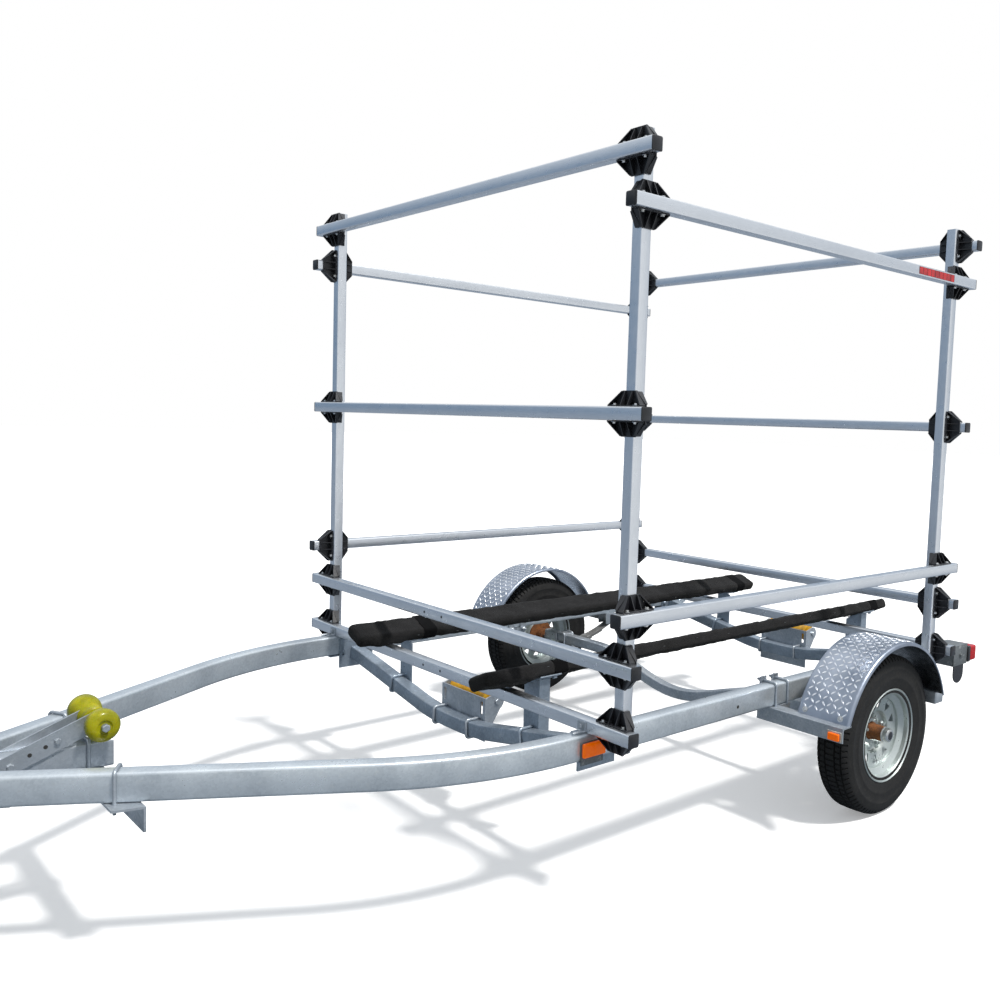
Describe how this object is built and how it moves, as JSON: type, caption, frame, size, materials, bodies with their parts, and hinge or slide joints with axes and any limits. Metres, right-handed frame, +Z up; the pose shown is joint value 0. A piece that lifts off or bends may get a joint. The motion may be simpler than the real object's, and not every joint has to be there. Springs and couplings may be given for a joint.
{
  "type": "boat trailer",
  "caption": "Galvanised road trailer for small sailing boats: bunks and rollers on a sprung axle, with a tall tube rack above, a ball coupler and a swivel jack.",
  "frame": {"origin": "on the ground, midway between the front of the coupler and the rear of the tail lamps, on the centre line", "axes": "+X to the rear of the trailer, +Y to its far side, +Z up; the coupler points along -X"},
  "size_m": [4.294, 2.08, 2.15],
  "materials": {
    "galvanised_steel": "hot-dip galvanised, dull with soft mottling",
    "rack_aluminium": "satin mill finish",
    "tread_plate": "bright tread plate",
    "black_plastic": "satin black",
    "bunk_carpet": "black needle-felt carpet over timber",
    "yellow_urethane": "glossy cast urethane",
    "tyre_rubber": "matt black rubber",
    "hub_iron": "cast iron with surface rust",
    "zinc_plate": "bright zinc plate"
  },
  "bodies": {
    "trailer_frame": {"bow_roller_arms": "galvanised_steel", "bunk_far": "bunk_carpet", "bunk_near": "bunk_carpet", "bunk_upright_front_far": "galvanised_steel", "bunk_upright_front_near": "galvanised_steel", "bunk_upright_rear_far": "galvanised_steel", "bunk_upright_rear_near": "galvanised_steel", "coupler_body": "zinc_plate", "cross_bar_front_lower": "rack_aluminium", "cross_bar_front_lowest": "rack_aluminium", "cross_bar_front_middle": "rack_aluminium", "cross_bar_front_top": "rack_aluminium", "cross_bar_rear_lower": "rack_aluminium", "cross_bar_rear_lowest": "rack_aluminium", "cross_bar_rear_middle": "rack_aluminium", "cross_bar_rear_top": "rack_aluminium", "cross_member_front": "galvanised_steel", "cross_member_rear": "galvanised_steel", "fender_far": "tread_plate", "fender_mount_far": "galvanised_steel", "fender_mount_near": "galvanised_steel", "fender_near": "tread_plate", "keel_bracket_front": "galvanised_steel", "keel_bracket_rear": "galvanised_steel", "leaf_spring_far": "galvanised_steel", "leaf_spring_near": "galvanised_steel", "post_front_far": "rack_aluminium", "post_front_near": "rack_aluminium", "post_rear_far": "rack_aluminium", "post_rear_near": "rack_aluminium", "rail_far": "galvanised_steel", "rail_near": "galvanised_steel", "side_bar_far_low": "rack_aluminium", "side_bar_far_top": "rack_aluminium", "side_bar_near_low": "rack_aluminium", "side_bar_near_top": "rack_aluminium", "tail_lamp_far": "black_plastic", "tail_lamp_near": "black_plastic", "tongue_crosspiece": "galvanised_steel", "tongue_gusset": "galvanised_steel", "tongue_tube": "galvanised_steel"},
    "axle_assembly": {"axle": "galvanised_steel"},
    "near_wheel": {"hub_near": "hub_iron", "rim_near": "galvanised_steel", "tyre_near": "tyre_rubber"},
    "far_wheel": {"hub_far": "hub_iron", "rim_far": "galvanised_steel", "tyre_far": "tyre_rubber"},
    "bow_spool": {"bow_roller_spool": "yellow_urethane"},
    "bow_bell_near": {"bow_roller_bell_near": "yellow_urethane"},
    "bow_bell_far": {"bow_roller_bell_far": "yellow_urethane"},
    "front_keel_roller": {"keel_roller_front": "yellow_urethane"},
    "rear_keel_roller": {"keel_roller_rear": "yellow_urethane"},
    "latch": {"coupler_latch": "zinc_plate"},
    "jack_outer": {"jack_tube": "zinc_plate"},
    "crank": {"jack_crank": "zinc_plate"},
    "jack_inner": {"jack_leg": "zinc_plate"},
    "caster": {"caster_fork": "zinc_plate"},
    "jack_wheel": {"caster_wheel": "black_plastic"}
  },
  "joints": [
    {"name": "axle_travel", "type": "slide", "parent": "trailer_frame", "child": "axle_assembly", "axis": [0, 0, 1], "range_m": [-0.03, 0.045], "stiffness_N_per_m": 120000, "springref_m": -0.0155, "deforming": ["leaf_spring_near", "leaf_spring_far"]},
    {"name": "near_wheel_spin", "type": "hinge", "parent": "axle_assembly", "child": "near_wheel", "pos_m": [1.19, -0.933, 0.285], "axis": [0, 1, 0], "continuous": true},
    {"name": "far_wheel_spin", "type": "hinge", "parent": "axle_assembly", "child": "far_wheel", "pos_m": [1.19, 0.933, 0.285], "axis": [0, 1, 0], "continuous": true},
    {"name": "bow_spool_spin", "type": "hinge", "parent": "trailer_frame", "child": "bow_spool", "pos_m": [-1.164, 0, 0.529], "axis": [0, 1, 0], "continuous": true},
    {"name": "bow_bell_near_spin", "type": "hinge", "parent": "trailer_frame", "child": "bow_bell_near", "pos_m": [-1.164, 0, 0.529], "axis": [0, 1, 0], "continuous": true},
    {"name": "bow_bell_far_spin", "type": "hinge", "parent": "trailer_frame", "child": "bow_bell_far", "pos_m": [-1.164, 0, 0.529], "axis": [0, 1, 0], "continuous": true},
    {"name": "keel_roller_front_spin", "type": "hinge", "parent": "trailer_frame", "child": "front_keel_roller", "pos_m": [0.1031, 0, 0.384], "axis": [0, 1, 0], "continuous": true},
    {"name": "keel_roller_rear_spin", "type": "hinge", "parent": "trailer_frame", "child": "rear_keel_roller", "pos_m": [2.0077, 0, 0.384], "axis": [0, 1, 0], "continuous": true},
    {"name": "coupler_latch_lift", "type": "hinge", "parent": "trailer_frame", "child": "latch", "pos_m": [-2.055, 0, 0.4884], "axis": [0, -1, 0], "range_deg": [0, 75]},
    {"name": "jack_fold", "type": "hinge", "parent": "trailer_frame", "child": "jack_outer", "pos_m": [-1.855, -0.0437, 0.434], "axis": [0, 1, 0], "range_deg": [0, 90]},
    {"name": "jack_crank_turn", "type": "hinge", "parent": "jack_outer", "child": "crank", "pos_m": [-1.855, -0.1148, 0.648], "axis": [0, 1, 0], "range_deg": [0, 28800]},
    {"name": "jack_leg_travel", "type": "slide", "parent": "jack_outer", "child": "jack_inner", "axis": [0, 0, 1], "range_m": [0, 0.2]},
    {"name": "caster_swivel", "type": "hinge", "parent": "jack_inner", "child": "caster", "pos_m": [-1.855, -0.0791, 0.1607], "axis": [0, 0, 1], "continuous": true},
    {"name": "caster_wheel_spin", "type": "hinge", "parent": "caster", "child": "jack_wheel", "pos_m": [-1.827, -0.0791, 0.075], "axis": [0, 1, 0], "continuous": true}
  ],
  "couplings": [
    {"joint": "jack_leg_travel", "follows": "jack_crank_turn", "m_per_rad": 0.000397}
  ]
}
